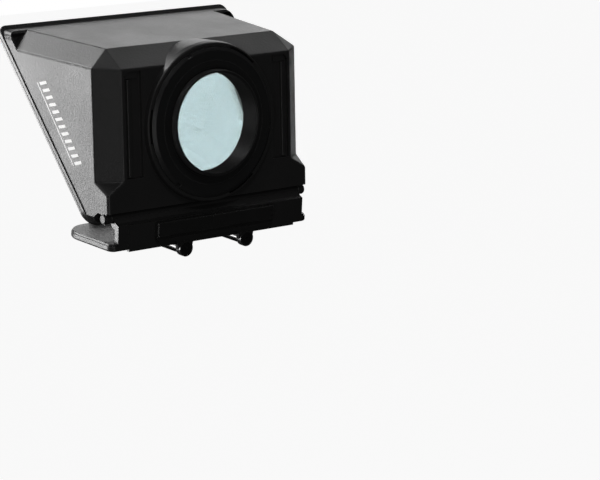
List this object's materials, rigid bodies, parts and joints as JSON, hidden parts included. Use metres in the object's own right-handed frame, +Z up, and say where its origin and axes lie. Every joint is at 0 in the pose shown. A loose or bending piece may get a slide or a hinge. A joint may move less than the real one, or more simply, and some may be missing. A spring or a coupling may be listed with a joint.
{
  "type": "teleprompter",
  "caption": "Tapered hood that hangs on a camera lens, with a sloping beam splitter glass and a tilting phone tray with a sprung sliding jaw.",
  "frame": {"origin": "centre of the adapter ring's seat, where the lens's front rim stops", "axes": "+Z up, +Y back along the lens axis towards the camera, -Y out through the glass towards the talent, +X the operator's left"},
  "size_m": [0.1572, 0.0949, 0.1233],
  "materials": {
    "hood_black": "fine moulded texture",
    "bezel_black": "fine moulded texture",
    "glass_clear": "semi-mirror coated",
    "foam_black": "closed cell foam",
    "rubber_black": "matt",
    "anodised_black": "black anodised, fine turned",
    "tray_black": "fine moulded texture",
    "bracket_black": "semi-gloss",
    "steel_bright": "polished",
    "steel_black": "black oxide",
    "steel_brushed": "brushed"
  },
  "bodies": {
    "hood": {"hood_shell": "hood_black", "front_bezel": "bezel_black", "beam_splitter_glass": "glass_clear", "glass_gasket": "foam_black", "bezel_screws": "steel_black", "bayonet_ring": "anodised_black", "lens_seal": "foam_black", "hinge_pins": "steel_bright", "hinge_washers": "steel_brushed"},
    "adapter": {"adapter_ring": "anodised_black"},
    "tray": {"tray_shell": "tray_black", "tray_cover": "tray_black", "tray_screws": "steel_black", "phone_pads": "rubber_black", "stop_pad": "foam_black", "rod_bracket": "bracket_black", "bracket_screws": "steel_black", "guide_tube_left": "steel_bright", "guide_tube_right": "steel_bright", "tube_screws": "steel_bright", "return_springs": "steel_brushed"},
    "jaw": {"jaw_bar": "tray_black", "jaw_tongue": "steel_brushed", "jaw_pad": "rubber_black", "slide_rod_left": "steel_bright", "slide_rod_right": "steel_bright", "jaw_screws": "steel_black"}
  },
  "joints": [
    {"name": "adapter_turn", "type": "hinge", "parent": "hood", "child": "adapter", "pos_m": [0, 0, 0], "axis": [0, 1, 0], "range_deg": [0, 60]},
    {"name": "tray_tilt", "type": "hinge", "parent": "hood", "child": "tray", "pos_m": [0, -0.0096, -0.0459], "axis": [-1, 0, 0], "range_deg": [-10, 30]},
    {"name": "jaw_slide", "type": "slide", "parent": "tray", "child": "jaw", "axis": [0, -0.9962, 0.0872], "range_m": [0, 0.034]}
  ]
}
